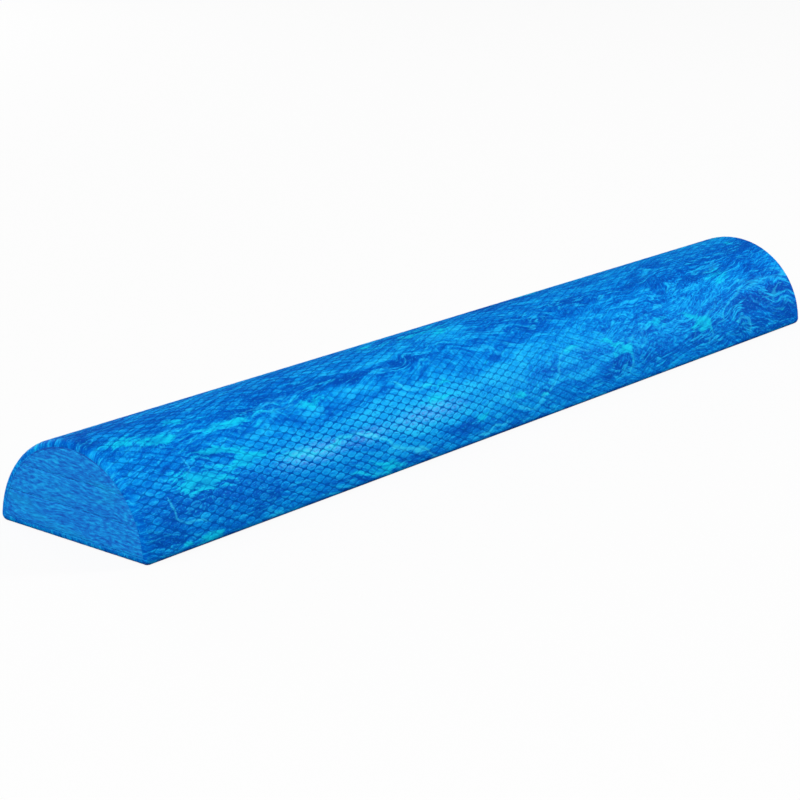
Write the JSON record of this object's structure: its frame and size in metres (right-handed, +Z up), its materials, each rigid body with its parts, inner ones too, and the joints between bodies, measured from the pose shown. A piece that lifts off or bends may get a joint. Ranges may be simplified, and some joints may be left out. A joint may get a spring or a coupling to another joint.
{
  "type": "half round foam roller",
  "caption": "Long half round exercise roller of marbled closed-cell foam, with a flat underside and a dome embossed with small diamonds, for balance and stretching work.",
  "frame": {"origin": "middle of the flat underside, on the plane that the roller rests on", "axes": "+X along the roller's length, +Y across it, +Z up through the top of the dome"},
  "size_m": [0.9144, 0.1522, 0.0762],
  "materials": {
    "wrap_foam": "satin",
    "base_foam": "satin",
    "core_foam": "matte"
  },
  "bodies": {
    "root": {"wrap": "wrap_foam", "base_sheet": "base_foam", "core_slab_lower": "core_foam", "core_slab_middle": "core_foam", "core_slab_upper": "core_foam"}
  },
  "joints": []
}
